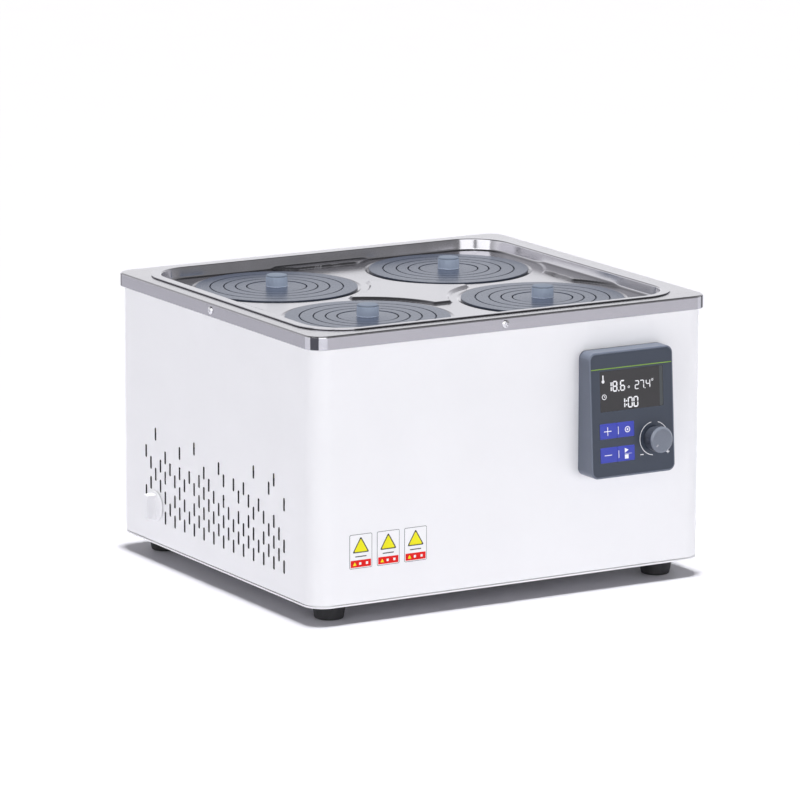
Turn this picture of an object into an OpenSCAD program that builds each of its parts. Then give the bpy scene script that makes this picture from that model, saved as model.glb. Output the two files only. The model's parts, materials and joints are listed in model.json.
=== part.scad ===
// Four-place laboratory water bath with concentric ring lids, a front control box
// and a magnetic stirring drive below the tank.
// X runs left to right, Y front to back, Z up. Z = 0 is the plane under the feet.

/* [Body] */
// Width of the stainless top frame
rim_w = 360; // [352:1:380]
// Depth of the stainless top frame
rim_d = 325; // [318:1:345]
// Height of the top frame's upper face above the bench
rim_top = 227.5; // [222:0.5:240]
// Depth of the skirt that the top frame folds down over the casing
skirt_h = 10.8; // [8:0.2:14]
// Corner radius of the top frame
rim_r = 14; // [10:0.5:18]
// Corner radius of the painted casing
casing_r = 16.7; // [12:0.1:20]
// Sheet thickness of the casing, base and frame
sheet = 1; // [0.8:0.1:1.2]

/* [Lids] */
// Distance between lid centres, left to right
lid_pitch_x = 160.4; // [156:0.2:164]
// Distance between lid centres, front to back
lid_pitch_y = 145.6; // [142:0.2:148]
// Outer radius of the largest ring
lid_r = 65; // [62:0.5:66]
// Radius of the knob on the centre disc
lid_knob_r = 8.75; // [7:0.25:10]
// Height of the knob on the centre disc
lid_knob_h = 9.5; // [7:0.5:12]
// Depth of the recess that the lids lie in
recess_h = 10; // [9:0.5:11]

/* [Tank] */
// Width of the tank inside
tank_w = 326; // [320:1:328]
// Depth of the tank inside, front to back
tank_d = 295; // [290:1:297]
// Height of the tank's floor above the bench
tank_floor_z = 78; // [76:1:82]

/* [Feet] */
// Height of the rubber feet
foot_h = 14; // [12:0.5:18]
// Radius of a foot where it meets the base
foot_r = 14; // [12:0.5:15]

/* [Control box] */
// Width of the control box
box_w = 77.4; // [74:0.2:80]
// Height of the control box's sloping face
box_h = 99.7; // [98:0.1:102]
// How far the control box stands out at its lower edge
box_out_low = 21; // [20:0.5:26]
// How far the control box stands out at its upper edge
box_out_high = 14.6; // [14:0.1:19]
// Radius of the speed knob
speed_knob_r = 10.4; // [9:0.1:11]
// Height of the speed knob
speed_knob_h = 12; // [10:0.5:14]

/* [Hidden] */

$fn = 64;
eps = 0.01;

// Casing
overhang = 1.9;
casing_w = rim_w - 2 * overhang;
casing_d = rim_d - 2 * overhang;
casing_left = -casing_w / 2;
casing_front = -casing_d / 2;
casing_back = casing_d / 2;
base_t = 1.5;
seam_gap = 0.2;
casing_z = foot_h + base_t + seam_gap;
frame_z = rim_top - sheet;
sheet_gap = 0.2;
slot_w = 2.5;
slot_h = 10.5;
vent_pitch_y = 8.1;
vent_pitch_z = 16.45;
vent_low_z = 39;
// Rows that are cut in each vent column, from the back to the front; every second
// column stands half a pitch higher
vent_rows = [[3, 1], [2, 1], [4, 2], [2, 1], [3, 2, 1, 0], [2, 0], [2, 1, 0], [3, 2, 1, 0],
    [2, 1, 0], [2, 0], [4, 2, 1, 0], [2, 1, 0], [3, 2, 1, 0], [2, 1, 0], [2, 1, 0],
    [3, 1, 0], [3, 2, 1, 0], [1, 0], [3, 1, 0], [2, 1, 0], [3, 1, 0], [2, 1, 0],
    [4, 2, 1, 0], [2, 0], [2, 1, 0], [3, 1, 0], [4, 2, 1, 0], [1, 0], [3, 1, 0]];

// Feet
foot_x = 150;
foot_y = 134;
foot_tip_r = foot_r - 2.5;
stem_r = 4;
stem_h = 6;

// Rear panel
panel_w = 310;
panel_z = 20;
panel_h = 106;
panel_gap = 0.2;
window_margin = 10;
panel_screw_in = 5;
panel_screw_up = 8;
panel_back = casing_back + panel_gap + sheet;
service_z = 45;
inlet_x = 100;
inlet_w = 28;
inlet_h = 22;
inlet_depth = 28;
switch_x = 58;
switch_w = 20;
switch_h = 14;
switch_depth = 20;
rocker_h = 6.8;
rocker_swing = 8;

// Frame and cover
frame_open_w = tank_w;
frame_open_d = tank_d;
frame_open_r = 33;
cover_w = 336;
cover_d = 301;
cover_r = 38;
cover_rim_x = 7;
cover_rim_y = 5.5;
cover_t = 1;
cover_lift_gap = 0.1;
cover_z = rim_top + cover_lift_gap;
pan_z = cover_z + cover_t - recess_h;
pan_w = cover_w - 2 * cover_rim_x;
pan_d = cover_d - 2 * cover_rim_y;
pan_r = cover_r - cover_rim_x;
screw_head_r = 2.5;
screw_head_h = 1.6;
screw_shank_r = 1.5;
panel_screw_r = 1.2;
skirt_screw_z = 222;
skirt_screw_x = -9;

// Lids: outer radii of the four rings and the disc, then the gaps between them
ring_step = [0, 11.5, 22.5, 32, 41];
ring_gap = 0.35;
ring_ledge = 2.2;
ring_clear = 0.4;
ring_top_t = 1.6;
ring_rest_gap = 0.1;
ring_under_t = 1.8;
lid_top = pan_z + ring_rest_gap + ring_top_t;
pan_hole_r = lid_r - 4;
lid_places = [[-1, 1], [1, 1], [-1, -1], [1, -1]];

// Tank and what it holds
tank_t = 0.8;
tank_r = frame_open_r;
tank_flange = 8;
tank_flange_z = frame_z - tank_t - sheet_gap;
heater_z = tank_floor_z + 12;
heater_r = 4;
heater_pitch = 60;
heater_legs = [-1.5, -0.5, 0.5, 1.5];
heater_front = -95;
heater_turn_back = 90;
heater_end = tank_d / 2 + 10;
nut_r = 9;
nut_t = 4;
probe_x = 128;
probe_r = 3;
probe_len = 74;
rack_w = tank_w - 14;
rack_d = tank_d - 14;
rack_z = tank_floor_z + 26;
rack_hole_r = 5;
rack_pitch = 26;
insulation_t = 9;
insulation_z = tank_floor_z + 26;
insulation_h = 96;

// Drain
valve_x = -138;
valve_y = 97;
valve_z = 46;
valve_r = 12;
valve_half = 15;
ball_r = 8;
drain_bore = 3.5;
barb_r = 5;
hose_t = 1.8;
hose_bend = 18;
drain_y = 40;
stem_hole_r = 3.05;
drain_stem_r = 3;
outlet_out = 10;
drain_disc_r = 12.5;
drain_disc_t = 2.2;
drain_gap = 0.4;
drain_bar_h = 21;
drain_bar_t = 5.8;
drain_bar_out = 7;

// Control box
box_x = 59.5;
box_z = 94.3;
box_r = 6;
box_wall = 2.2;
box_tilt = asin((box_out_low - box_out_high) / box_h);
fascia_t = 0.8;
fascia_edge = 2.2;
display_x = 9.3;
display_z = 52.5;
display_w = 58.5;
display_h = 32.2;
key_x = [8.4, 24.2];
key_z = [31.2, 12.3];
key_w = 15.4;
key_h = 11.8;
key_travel = 0.6;
key_clear = 0.35;
key_cap_t = 1.4;
key_lip = 1;
knob_x = 58.2;
knob_z = 27.4;
encoder_r = 3;
knob_gap = 0.4;

// Stirring drive
motor_r = 18;
motor_h = 24;
motor_top = 46;
plate_w = 236;
plate_d = 216;
plate_t = 1.5;
rotor_shaft_r = 2.5;
rotor_r = 22;
rotor_z = motor_top + plate_t + 3;
magnet_r = 6;
magnet_h = 8;
magnet_spread = 14;

// Power board
board_x = 148;
board_y = 10;
board_w = 40;
board_d = 120;
board_z = 22;
board_t = 1.6;

// Moves the drawing so that the middle of its outer box stands on the origin
drain_reach = casing_w / 2 + drain_gap + drain_disc_t + drain_bar_out;
right_reach = rim_w / 2 + screw_head_h;
back_reach = panel_back + outlet_out;
front_reach = -front_limit();
shift_x = (drain_reach - right_reach) / 2;
shift_y = (front_reach - back_reach) / 2;
function front_limit() = casing_front - box_out_low
    + (knob_z - speed_knob_r) * sin(box_tilt) - (knob_gap + speed_knob_h) * cos(box_tilt);

module centred() {
    translate([shift_x, shift_y, 0]) children();
}

module rounded_rect(w, d, r) {
    square([w - 2 * r, d], center = true);
    square([w, d - 2 * r], center = true);
    for (sx = [-1, 1]) for (sy = [-1, 1])
        translate([sx * (w / 2 - r), sy * (d / 2 - r)]) circle(r);
}

module rounded_block(w, d, r, z, h) {
    translate([0, 0, z]) linear_extrude(h) rounded_rect(w, d, r);
}

module rounded_tube(w, d, r, t, z, h) {
    translate([0, 0, z]) linear_extrude(h) difference() {
        rounded_rect(w, d, r);
        rounded_rect(w - 2 * t, d - 2 * t, r - t);
    }
}

module at_places(x, y) {
    for (place = lid_places) translate([place[0] * x, place[1] * y, 0]) children();
}

module along_x(r, x0, x1) {
    translate([x0, 0, 0]) rotate([0, 90, 0]) cylinder(r = r, h = x1 - x0);
}

module along_y(r, y0, y1) {
    translate([0, y0, 0]) rotate([-90, 0, 0]) cylinder(r = r, h = y1 - y0);
}

// ---- Casing and base ----

module vent_slots() {
    for (col = [0:len(vent_rows) - 1]) for (row = vent_rows[col])
        translate([(len(vent_rows) - 1) / 2 * vent_pitch_y - col * vent_pitch_y,
                   vent_low_z + (row + (col % 2) / 2) * vent_pitch_z]) {
            square([slot_w, slot_h - slot_w], center = true);
            for (end = [-1, 1]) translate([0, end * (slot_h - slot_w) / 2])
                circle(slot_w / 2, $fn = 24);
        }
}

module casing() {
    color("whitesmoke") difference() {
        rounded_tube(casing_w, casing_d, casing_r, sheet, casing_z,
                     frame_z - sheet_gap - casing_z);
        for (side = [-1, 1]) translate([side * casing_w / 2, 0, 0])
            rotate([90, 0, 90]) translate([0, 0, -2 * sheet])
                linear_extrude(4 * sheet) vent_slots();
        translate([0, casing_back, panel_z + panel_h / 2])
            cube([panel_w - 2 * window_margin, 4 * sheet, panel_h - 2 * window_margin],
                 center = true);
        translate([0, valve_y, valve_z])
            along_x(drain_stem_r + 2, casing_left - 2 * sheet, casing_left + 2 * sheet);
        translate([box_x + box_w / 2, casing_front, box_z + box_h / 2])
            cube([40, 4 * sheet, 50], center = true);
        skirt_screw_holes();
        at_panel_screws() cylinder(r = panel_screw_r + 0.1, h = 8, center = true);
    }
}

module skirt_screw_holes() {
    translate([0, 0, skirt_screw_z]) {
        along_x(screw_shank_r, -rim_w, rim_w);
        translate([skirt_screw_x, 0, 0]) along_y(screw_shank_r, -rim_d, rim_d);
    }
}

module rear_panel() {
    color("gainsboro") difference() {
        translate([-panel_w / 2, casing_back + panel_gap, panel_z])
            cube([panel_w, sheet, panel_h]);
        translate([inlet_x, panel_back, service_z])
            cube([inlet_w + 0.4, 4 * sheet, inlet_h + 0.4], center = true);
        translate([switch_x, panel_back, service_z])
            cube([switch_w + 0.4, 4 * sheet, switch_h + 0.4], center = true);
        translate([valve_x, 0, valve_z]) along_y(barb_r + 1, casing_back - 2, panel_back + 2);
        for (col = [0:11]) translate([-60 + col * 8, panel_back, 95])
            cube([slot_w, 4 * sheet, 24], center = true);
        at_panel_screws() cylinder(r = panel_screw_r + 0.1, h = 8, center = true);
    }
}

module base_pan() {
    color("white") difference() {
        union() {
            rounded_block(casing_w, casing_d, casing_r, foot_h, base_t);
            rounded_tube(casing_w - 2 * sheet - 0.4, casing_d - 2 * sheet - 0.4,
                         casing_r - sheet - 0.2, sheet, foot_h + base_t - eps, 9);
        }
        at_places(foot_x, foot_y) translate([0, 0, foot_h - 1])
            cylinder(r = stem_r + 0.1, h = 4);
    }
}

module rubber_feet() {
    color("black") at_places(foot_x, foot_y) rotate_extrude() polygon([
        [0, 0], [foot_tip_r - 1, 0], [foot_tip_r, 1], [foot_r, foot_h],
        [stem_r, foot_h], [stem_r, foot_h + stem_h], [0, foot_h + stem_h]]);
}

module top_frame() {
    color("silver") difference() {
        union() {
            rounded_block(rim_w, rim_d, rim_r, frame_z, sheet);
            rounded_tube(rim_w, rim_d, rim_r, sheet, rim_top - skirt_h, skirt_h - eps);
        }
        rounded_block(frame_open_w, frame_open_d, frame_open_r, frame_z - 1, 4);
        skirt_screw_holes();
    }
}

module domed_screw(head_h, head_r, shank_r, shank) {
    rotate_extrude() polygon([[0, -shank], [shank_r, -shank], [shank_r, 0], [head_r, 0],
                              [head_r * 0.86, head_h * 0.6], [head_r * 0.4, head_h],
                              [0, head_h]]);
}

module frame_screws() {
    color("lightgray") translate([0, 0, skirt_screw_z]) {
        for (side = [0, 180]) {
            rotate([0, 0, side]) translate([rim_w / 2, 0, 0]) rotate([0, 90, 0])
                domed_screw(screw_head_h, screw_head_r, screw_shank_r - 0.1, 6);
            translate([skirt_screw_x, 0, 0]) rotate([0, 0, side]) translate([0, rim_d / 2, 0])
                rotate([-90, 0, 0])
                    domed_screw(screw_head_h, screw_head_r, screw_shank_r - 0.1, 6);
        }
    }
}

module at_panel_screws() {
    for (sx = [-1, 1]) for (level = [panel_screw_up, panel_h - panel_screw_up])
        translate([sx * (panel_w / 2 - panel_screw_in), panel_back, panel_z + level])
            rotate([-90, 0, 0]) children();
}

module casing_screws() {
    color("lightgray") at_panel_screws()
        domed_screw(0.8, screw_head_r, panel_screw_r, 4);
}

// ---- Tank ----

module tank() {
    outer_w = tank_w + 2 * tank_t;
    outer_d = tank_d + 2 * tank_t;
    color("lightsteelblue") difference() {
        union() {
            rounded_block(outer_w, outer_d, tank_r, tank_floor_z - tank_t,
                          tank_flange_z + tank_t - tank_floor_z + tank_t);
            rounded_block(outer_w + 2 * tank_flange, outer_d + 2 * tank_flange,
                          tank_r + tank_flange, tank_flange_z, tank_t);
            translate([valve_x, drain_y, tank_floor_z - 12])
                cylinder(r = barb_r - 0.1, h = 12 - eps);
        }
        rounded_block(tank_w, tank_d, tank_r - tank_t, tank_floor_z, rim_top);
        translate([valve_x, drain_y, tank_floor_z - 13]) cylinder(r = drain_bore, h = 20);
        for (leg = [heater_legs[0], heater_legs[3]])
            translate([leg * heater_pitch, 0, heater_z])
                along_y(heater_r + 0.1, tank_d / 2 - 2, tank_d / 2 + 4);
        translate([probe_x, 0, heater_z])
            along_y(probe_r + 0.1, tank_d / 2 - 2, tank_d / 2 + 4);
    }
}

module tank_insulation() {
    color("khaki") rounded_tube(tank_w + 2 * tank_t + 0.6 + 2 * insulation_t,
        tank_d + 2 * tank_t + 0.6 + 2 * insulation_t, tank_r + insulation_t, insulation_t,
        insulation_z, insulation_h);
}

module half_turn(r, turn_r) {
    rotate_extrude(angle = 180) translate([turn_r, 0]) circle(r);
}

module heater() {
    color("dimgray") translate([0, 0, heater_z]) {
        for (leg = heater_legs) translate([leg * heater_pitch, 0, 0])
            along_y(heater_r, heater_front - eps,
                    abs(leg) > 1 ? heater_end : heater_turn_back + eps);
        for (side = [-1, 1]) translate([side * heater_pitch, heater_front, 0])
            mirror([0, 1, 0]) half_turn(heater_r, heater_pitch / 2);
        translate([0, heater_turn_back, 0]) half_turn(heater_r, heater_pitch / 2);
    }
}

module gland_nut(bore) {
    rotate([-90, 0, 0]) difference() {
        cylinder(r = nut_r, h = nut_t, $fn = 6);
        translate([0, 0, -1]) cylinder(r = bore, h = nut_t + 2);
    }
}

module heater_nuts() {
    color("goldenrod") for (leg = [heater_legs[0], heater_legs[3]])
        for (y = [tank_d / 2 + tank_t + 0.1, tank_d / 2 - nut_t - 0.1])
            translate([leg * heater_pitch, y, heater_z]) gland_nut(heater_r + 0.05);
}

module temperature_probe() {
    color("silver") translate([probe_x, 0, heater_z]) {
        along_y(probe_r, heater_end - probe_len, heater_end);
        translate([0, tank_d / 2 + tank_t + 0.1, 0]) gland_nut(probe_r - 0.1);
    }
}

module rack() {
    color("silver") difference() {
        union() {
            rounded_block(rack_w, rack_d, 12, rack_z, sheet);
            for (side = [-1, 1]) translate([side * (rack_w / 2 - 8), 0,
                                            (rack_z + tank_floor_z + 0.3) / 2 + sheet / 4])
                cube([sheet, rack_d - 60, rack_z - tank_floor_z - 0.3 + sheet / 2],
                     center = true);
        }
        for (col = [-5:5]) for (row = [-4:4])
            translate([col * rack_pitch, row * rack_pitch, rack_z - 1])
                cylinder(r = rack_hole_r, h = 4, $fn = 32);
        for (side = [-1, 1]) translate([side * (rack_w / 2 - 8), 0, rack_z - 13])
            rotate([0, 90, 0]) rotate([0, 0, 90]) rounded_block(60, 14, 6, -3, 6);
    }
}

// ---- Drain ----

module hose_run(r, over) {
    translate([valve_x, drain_y, valve_z + hose_bend])
        cylinder(r = r, h = tank_floor_z - 2 - valve_z - hose_bend + over);
    translate([valve_x, drain_y + hose_bend, valve_z + hose_bend]) rotate([0, 90, 0])
        rotate([0, 0, -90]) rotate_extrude(angle = 90) translate([hose_bend, 0]) circle(r);
    translate([valve_x, 0, valve_z])
        along_y(r, drain_y + hose_bend, valve_y - valve_half - 0.3 + over);
}

module drain_hose() {
    color("white") difference() {
        hose_run(barb_r + hose_t, 0);
        hose_run(barb_r, 1);
    }
}

module drain_valve_body() {
    color("ivory") translate([valve_x, valve_y, valve_z]) difference() {
        union() {
            along_y(valve_r, -valve_half, valve_half);
            along_y(barb_r - 0.1, -valve_half - 14, -valve_half + 1);
            along_y(barb_r, valve_half - 1, panel_back + outlet_out - valve_y);
            along_x(valve_r - 3, casing_left + sheet + 1 - valve_x, 0);
        }
        along_y(drain_bore, -60, 120);
        sphere(ball_r + 0.1);
        along_x(stem_hole_r, -60, 0);
    }
}

module drain_valve_ball() {
    color("silver") translate([valve_x, valve_y, valve_z]) difference() {
        union() {
            sphere(ball_r);
            along_x(drain_stem_r, casing_left - drain_gap - 0.5 - valve_x, 0);
        }
        cylinder(r = drain_bore, h = 4 * ball_r, center = true);
    }
}

module drain_knob() {
    disc_x = casing_left - drain_gap - drain_disc_t;
    color("white") translate([0, valve_y, valve_z]) difference() {
        union() {
            along_x(drain_disc_r, disc_x, disc_x + drain_disc_t);
            translate([disc_x - drain_bar_out, -drain_bar_t / 2, -drain_bar_h / 2])
                cube([drain_bar_out + 0.5, drain_bar_t, drain_bar_h]);
        }
        along_x(drain_stem_r + 0.02, casing_left - drain_gap - 0.52, casing_left + 5);
    }
}

// ---- Control box ----

// Places children on the sloping face: x to the right from its lower left corner,
// z up the slope, -y out of the face
module on_face(x, z) {
    translate([box_x, casing_front - box_out_low, box_z]) rotate([-box_tilt, 0, 0])
        translate([x, 0, z]) children();
}

// The box's own wedge, drawn smaller by inset and open further back by -back
module wedge(inset, back) {
    w = box_w - 2 * inset;
    h = box_h * cos(box_tilt) - 2 * inset;
    difference() {
        translate([box_x + inset, casing_front - back, box_z + inset]) rotate([90, 0, 0])
            translate([w / 2, h / 2, 0]) linear_extrude(40) rounded_rect(w, h, box_r - inset);
        on_face(-50, -50) translate([0, inset - 60, 0]) cube([200, 60, 220]);
    }
}

module face_openings(grow) {
    on_face(display_x - grow, display_z - grow) translate([0, -5, 0])
        cube([display_w + 2 * grow, 12, display_h + 2 * grow]);
    for (kx = key_x) for (kz = key_z)
        on_face(kx - key_clear, kz - key_clear) translate([0, -5, 0])
            cube([key_w + 2 * key_clear, 12, key_h + 2 * key_clear]);
    on_face(knob_x, knob_z) along_y(encoder_r + 0.5, -6, 8);
}

module control_housing() {
    color("slategray") difference() {
        wedge(0, 0.1);
        wedge(box_wall, -5);
        face_openings(-1);
        on_face(fascia_edge, fascia_edge) translate([0, -5, 0])
            cube([box_w - 2 * fascia_edge, 5 + fascia_t + 0.1, box_h - 2 * fascia_edge]);
    }
}

module control_fascia() {
    color("darkslategray") difference() {
        on_face(fascia_edge + 0.15, fascia_edge + 0.15)
            cube([box_w - 2 * fascia_edge - 0.3, fascia_t, box_h - 2 * fascia_edge - 0.3]);
        face_openings(0);
    }
}

module display_window() {
    color("black") on_face(display_x + 0.1, display_z + 0.1) translate([0, 0.1, 0])
        cube([display_w - 0.2, fascia_t - 0.2, display_h - 0.2]);
}

module display_module() {
    color("green") on_face(display_x + 2, display_z + 1) translate([0, box_wall + 0.5, 0])
        cube([display_w - 4, 5, display_h - 2]);
}

module key_cap(kx, kz, tint) {
    color(tint) on_face(kx, kz) {
        translate([0, -0.4, 0]) cube([key_w, box_wall + 1.2, key_h]);
        translate([0, box_wall + 0.4, -key_lip])
            cube([key_w, key_cap_t, key_h + 2 * key_lip]);
    }
}

module key_plus() { key_cap(key_x[0], key_z[0], "royalblue"); }

module key_set() { key_cap(key_x[1], key_z[0], "royalblue"); }

module key_minus() { key_cap(key_x[0], key_z[1], "royalblue"); }

module key_run() { key_cap(key_x[1], key_z[1], "royalblue"); }

module control_board() {
    board_depth = 8.2;
    color("seagreen") difference() {
        on_face(5, 5) translate([0, board_depth, 0]) cube([box_w - 10, 1.6, box_h - 10]);
        on_face(knob_x, knob_z) along_y(encoder_r + 3.5, 5, 14);
    }
}

module speed_encoder() {
    color("silver") on_face(knob_x, knob_z) {
        along_y(encoder_r, -8, box_wall + 2);
        translate([-6, box_wall + 1, -6]) cube([12, 4, 12]);
    }
}

module speed_knob() {
    color("gray") on_face(knob_x, knob_z) translate([0, -knob_gap, 0]) rotate([90, 0, 0])
        difference() {
            union() {
                cylinder(r = speed_knob_r - 1, h = 4);
                translate([0, 0, 4 - eps])
                    cylinder(r = speed_knob_r, h = speed_knob_h - 4 + eps);
            }
            translate([0, 0, -1]) cylinder(r = encoder_r + 0.05, h = 1 + 8);
            translate([-speed_knob_r + 3, -0.5, speed_knob_h - 0.5])
                cube([speed_knob_r - 5, 1, 1]);
        }
}

// ---- Power parts ----

module power_board() {
    color("seagreen") translate([board_x, board_y, board_z]) {
        translate([-board_w / 2, -board_d / 2, 0]) cube([board_w, board_d, board_t]);
        for (sx = [-1, 1]) for (sy = [-1, 1])
            translate([sx * (board_w / 2 - 5), sy * (board_d / 2 - 5),
                       foot_h + base_t + 0.1 - board_z])
                cylinder(r = 3, h = board_z - foot_h - base_t);
        translate([-12, -52, board_t - eps]) cube([24, 30, 22]);
        for (fin = [0:4]) translate([-15 + fin * 6, -10, board_t - eps]) cube([2, 34, 26]);
        translate([-15, -10, board_t - eps]) cube([28, 34, 3]);
        translate([-14, 32, board_t - eps]) cube([28, 14, 12]);
    }
}

module power_inlet() {
    color("black") translate([inlet_x, panel_back, service_z]) difference() {
        union() {
            translate([-inlet_w / 2, -inlet_depth, -inlet_h / 2])
                cube([inlet_w, inlet_depth + 1, inlet_h]);
            translate([-25, 0.05, -14]) cube([50, 2.4, 28]);
        }
        translate([-12.5, -16, -8.5]) cube([25, 30, 17]);
        for (side = [-1, 1]) translate([side * 20, 0, 0]) along_y(1.7, -1, 4);
    }
    color("silver") for (pin = [-1, 0, 1])
        translate([inlet_x + pin * 7 - 1, panel_back - 18, service_z - 2 + (pin == 0 ? 3 : 0)])
            cube([2, 14, 4]);
}

module switch_housing() {
    color("black") translate([switch_x, panel_back, service_z]) difference() {
        union() {
            translate([-switch_w / 2, -switch_depth, -switch_h / 2])
                cube([switch_w, switch_depth + 1, switch_h]);
            translate([-switch_w / 2 - 2, 0.05, -switch_h / 2 - 2])
                cube([switch_w + 4, 1.6, switch_h + 4]);
        }
        translate([-switch_w / 2 + 2, -12, -switch_h / 2 + 2])
            cube([switch_w - 4, 20, switch_h - 4]);
        translate([0, -4, 0]) along_x(1.3, -switch_w / 2 - 1, switch_w / 2 + 1);
    }
}

module switch_rocker() {
    color("firebrick") translate([switch_x, panel_back - 4, service_z])
        rotate([-rocker_swing, 0, 0]) {
            along_x(1.25, -switch_w / 2 + 0.5, switch_w / 2 - 0.5);
            difference() {
                translate([-switch_w / 2 + 2.4, -3, -rocker_h / 2])
                    cube([switch_w - 4.8, 9, rocker_h]);
                translate([0, 19, 0]) along_x(14, -switch_w, switch_w);
            }
        }
}

// ---- Stirring drive ----

module motor_plate() {
    color("silver") difference() {
        union() {
            rounded_block(plate_w, plate_d, 8, motor_top, plate_t);
            for (side = [-1, 1]) translate([side * (plate_w / 2 - 10), 0, 0])
                for (y = [-70, 70]) translate([0, y, foot_h + base_t + 0.1])
                    cylinder(r = 4, h = motor_top - foot_h - base_t);
        }
        at_places(lid_pitch_x / 2, lid_pitch_y / 2) translate([0, 0, motor_top - 1])
            cylinder(r = 8, h = 4);
    }
}

module stirrer_motors() {
    color("dimgray") at_places(lid_pitch_x / 2, lid_pitch_y / 2) difference() {
        union() {
            translate([0, 0, motor_top - motor_h]) cylinder(r = motor_r, h = motor_h - 0.05);
            translate([0, 0, motor_top - 1]) cylinder(r = 6, h = plate_t + 1.5);
        }
        translate([0, 0, motor_top - motor_h + 3])
            cylinder(r = rotor_shaft_r + 0.05, h = motor_h + 20);
    }
}

module stirrer_rotor(place) {
    at = lid_places[place - 1];
    color("silver") translate([at[0] * lid_pitch_x / 2, at[1] * lid_pitch_y / 2, 0]) {
        translate([0, 0, motor_top - motor_h + 4])
            cylinder(r = rotor_shaft_r, h = rotor_z - motor_top + motor_h - 3);
        translate([0, 0, rotor_z]) cylinder(r = rotor_r, h = 4);
        for (side = [-1, 1]) translate([side * magnet_spread, 0, rotor_z + 4 - eps])
            cylinder(r = magnet_r, h = magnet_h);
    }
}

// ---- Cover and lids ----

module cover_plate() {
    color("silver") difference() {
        union() {
            rounded_block(cover_w, cover_d, cover_r, cover_z, cover_t);
            rounded_block(pan_w, pan_d, pan_r, pan_z - cover_t, recess_h + eps);
        }
        rounded_block(pan_w - 2 * cover_t, pan_d - 2 * cover_t, pan_r - cover_t, pan_z,
                      2 * recess_h);
        at_places(lid_pitch_x / 2, lid_pitch_y / 2)
            translate([0, 0, pan_z - 5]) cylinder(r = pan_hole_r, h = 10, $fn = 96);
    }
}

// Upper and lower outlines of ring k: the upper part lies on the ledge of the next
// larger ring, and the lower part drops inside it
function upper_out(k) = lid_r - ring_step[k] - (k == 0 ? 0 : ring_gap);
function upper_in(k) = lid_r - ring_step[k + 1] + ring_gap;
function lower_in(k) = upper_in(k) - ring_ledge;
function lower_out(k) = (k == 0 ? pan_hole_r : lower_in(k - 1)) - ring_clear;

module ring_lid(place, k) {
    at = lid_places[place - 1];
    step_z = lid_top - ring_top_t;
    color("lightslategray")
        translate([at[0] * lid_pitch_x / 2, at[1] * lid_pitch_y / 2, 0])
            rotate_extrude($fn = 96) polygon([
                [upper_in(k), lid_top], [upper_out(k), lid_top], [upper_out(k), step_z],
                [lower_out(k), step_z], [lower_out(k), step_z - ring_under_t],
                [lower_in(k), step_z - ring_under_t], [lower_in(k), step_z - ring_rest_gap],
                [upper_in(k), step_z - ring_rest_gap]]);
}

module centre_lid(place) {
    at = lid_places[place - 1];
    step_z = lid_top - ring_top_t;
    waist_r = lid_knob_r - 1.5;
    color("slategray") translate([at[0] * lid_pitch_x / 2, at[1] * lid_pitch_y / 2, 0])
        rotate_extrude() polygon([
            [0, step_z - ring_under_t], [lower_out(4), step_z - ring_under_t],
            [lower_out(4), step_z], [upper_out(4), step_z], [upper_out(4), lid_top],
            [waist_r, lid_top], [waist_r, lid_top + 2],
            [lid_knob_r, lid_top + 3.5], [lid_knob_r, lid_top + lid_knob_h - 1],
            [lid_knob_r - 1, lid_top + lid_knob_h], [0, lid_top + lid_knob_h]]);
}

centred() casing();
centred() rear_panel();
centred() base_pan();
centred() rubber_feet();
centred() top_frame();
centred() frame_screws();
centred() casing_screws();
centred() tank();
centred() tank_insulation();
centred() heater();
centred() heater_nuts();
centred() temperature_probe();
centred() rack();
centred() drain_hose();
centred() drain_valve_body();
centred() drain_valve_ball();
centred() drain_knob();
centred() control_housing();
centred() control_fascia();
centred() display_window();
centred() display_module();
centred() control_board();
centred() speed_encoder();
centred() speed_knob();
centred() key_plus();
centred() key_set();
centred() key_minus();
centred() key_run();
centred() power_board();
centred() power_inlet();
centred() switch_housing();
centred() switch_rocker();
centred() motor_plate();
centred() stirrer_motors();
centred() cover_plate();
for (place = [1:4]) {
    centred() stirrer_rotor(place);
    centred() centre_lid(place);
    for (ring = [1:4])
        centred() ring_lid(place, ring - 1);
}
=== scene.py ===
"""Looks of the four-place water bath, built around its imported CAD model."""
import json
import math

import bmesh
import bpy
from mathutils import Matrix, Vector


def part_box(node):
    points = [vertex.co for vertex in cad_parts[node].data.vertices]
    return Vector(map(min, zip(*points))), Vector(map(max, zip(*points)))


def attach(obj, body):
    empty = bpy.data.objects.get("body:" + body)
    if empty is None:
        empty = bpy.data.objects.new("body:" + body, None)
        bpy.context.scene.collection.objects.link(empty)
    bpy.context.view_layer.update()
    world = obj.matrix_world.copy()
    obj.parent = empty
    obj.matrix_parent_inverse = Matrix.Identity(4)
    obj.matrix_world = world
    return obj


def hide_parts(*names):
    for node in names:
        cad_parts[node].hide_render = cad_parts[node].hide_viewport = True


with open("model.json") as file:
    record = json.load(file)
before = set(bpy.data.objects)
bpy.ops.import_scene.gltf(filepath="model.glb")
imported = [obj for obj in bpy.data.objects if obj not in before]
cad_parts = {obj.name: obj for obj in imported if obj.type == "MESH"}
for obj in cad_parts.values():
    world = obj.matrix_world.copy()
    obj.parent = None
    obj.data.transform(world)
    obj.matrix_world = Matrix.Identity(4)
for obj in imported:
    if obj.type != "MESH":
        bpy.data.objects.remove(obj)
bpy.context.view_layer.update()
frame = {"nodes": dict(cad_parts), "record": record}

MM = 0.001

# -------- places and sizes
# Pieces are drawn in millimetres about the middle of the top frame, with heights above
# the bench. What the CAD model already states comes from its nodes' boxes.
rim_low, rim_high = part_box("top_frame")
RIM = Vector(((rim_low.x + rim_high.x) / 2, (rim_low.y + rim_high.y) / 2, 0))


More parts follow.
